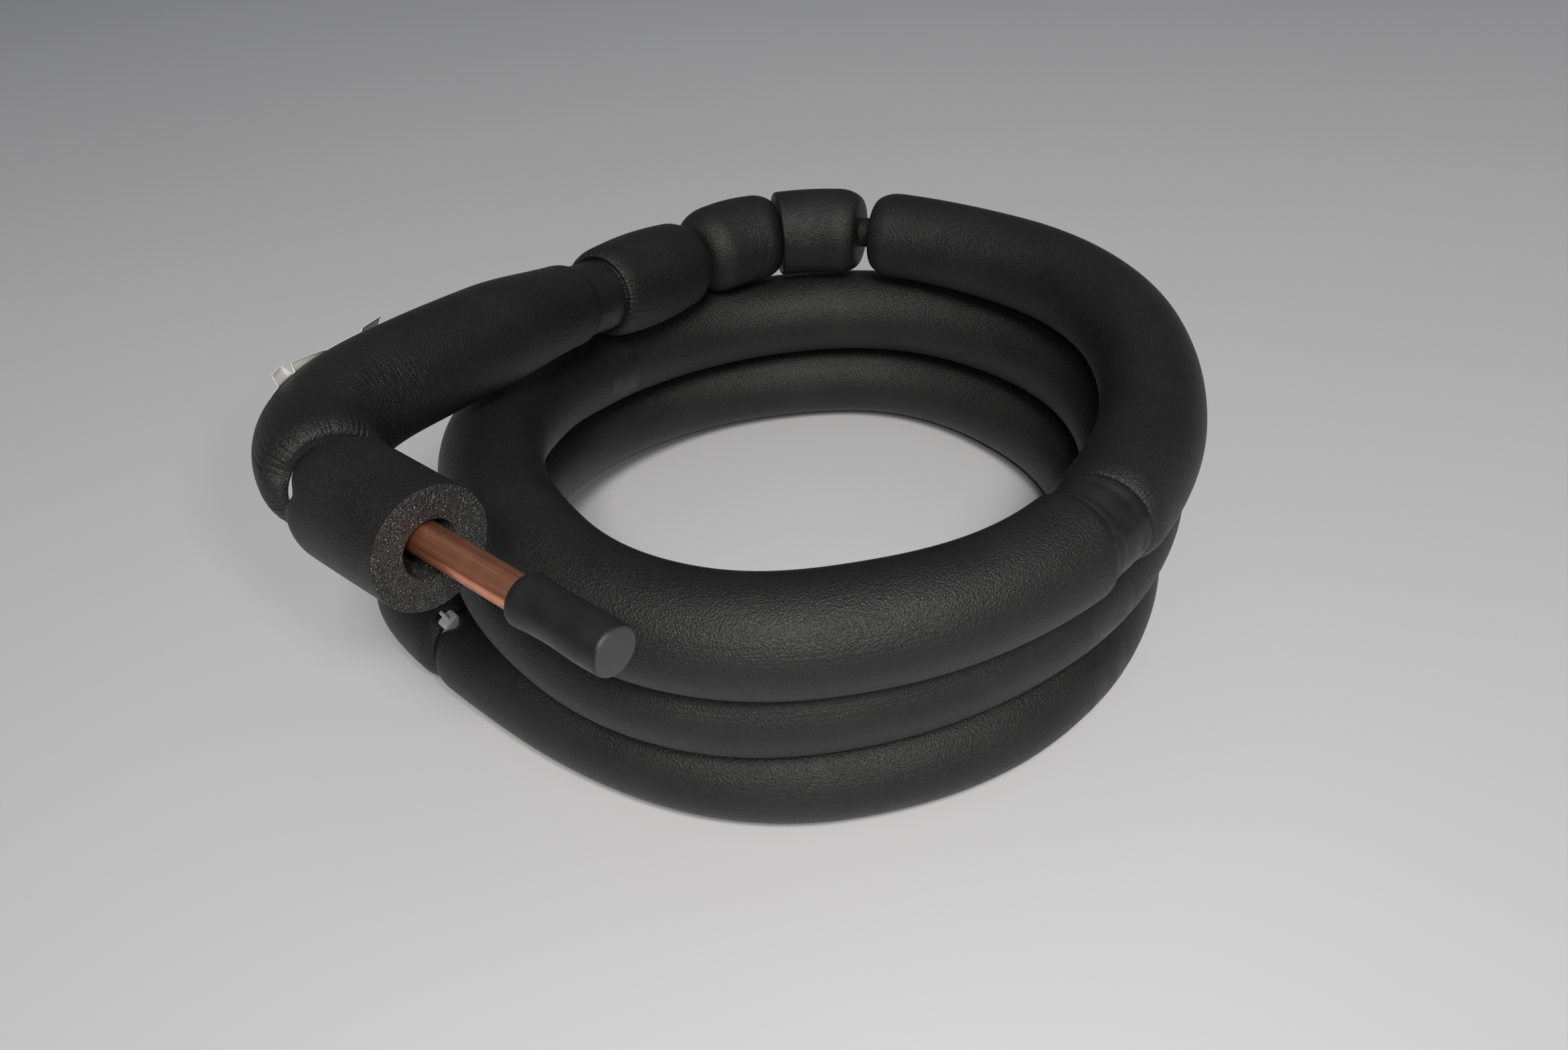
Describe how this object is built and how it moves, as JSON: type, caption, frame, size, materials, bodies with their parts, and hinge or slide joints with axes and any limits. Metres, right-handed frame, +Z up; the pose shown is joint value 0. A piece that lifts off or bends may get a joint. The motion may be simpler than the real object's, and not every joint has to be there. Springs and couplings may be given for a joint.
{
  "type": "copper tube coil",
  "caption": "Coil of soft copper tube in black foam sleeves, tied and taped where the sleeves meet, with a capped free end, for running refrigerant or heating lines.",
  "frame": {"origin": "on the floor under the middle of the whole coil with its loose ends", "axes": "+Z is up, along the coil's axis. The capped end stands out at the front left, towards -X and -Y, and -Y is the picture's near side."},
  "size_m": [0.3022, 0.3127, 0.146],
  "materials": {
    "copper": "satin drawn copper, a little dulled, with lengthwise streaks",
    "cap_rubber": "satin black moulded rubber",
    "foam": "matt black closed-cell foam with a fine leathery skin",
    "tape": "semi-gloss black tape",
    "tie_nylon": "milky white nylon",
    "label_paper": "plain white paper, matt"
  },
  "bodies": {
    "root": {"copper_tube": "copper", "end_cap": "cap_rubber", "end_sleeve": "foam", "bend_sleeve": "foam", "barrel_sleeve_1": "foam", "barrel_sleeve_2": "foam", "barrel_sleeve_3": "foam", "top_sleeve_1": "foam", "top_sleeve_2": "foam", "middle_sleeve": "foam", "bottom_sleeve_1": "foam", "bottom_sleeve_2": "foam", "floor_sleeve": "foam", "bend_tape": "tape", "top_tape": "tape", "band_tape_1": "tape", "band_tape_2": "tape", "band_tape_3": "tape", "free_end_tie": "tie_nylon", "floor_end_tie": "tie_nylon", "paper_label": "label_paper"}
  },
  "joints": []
}
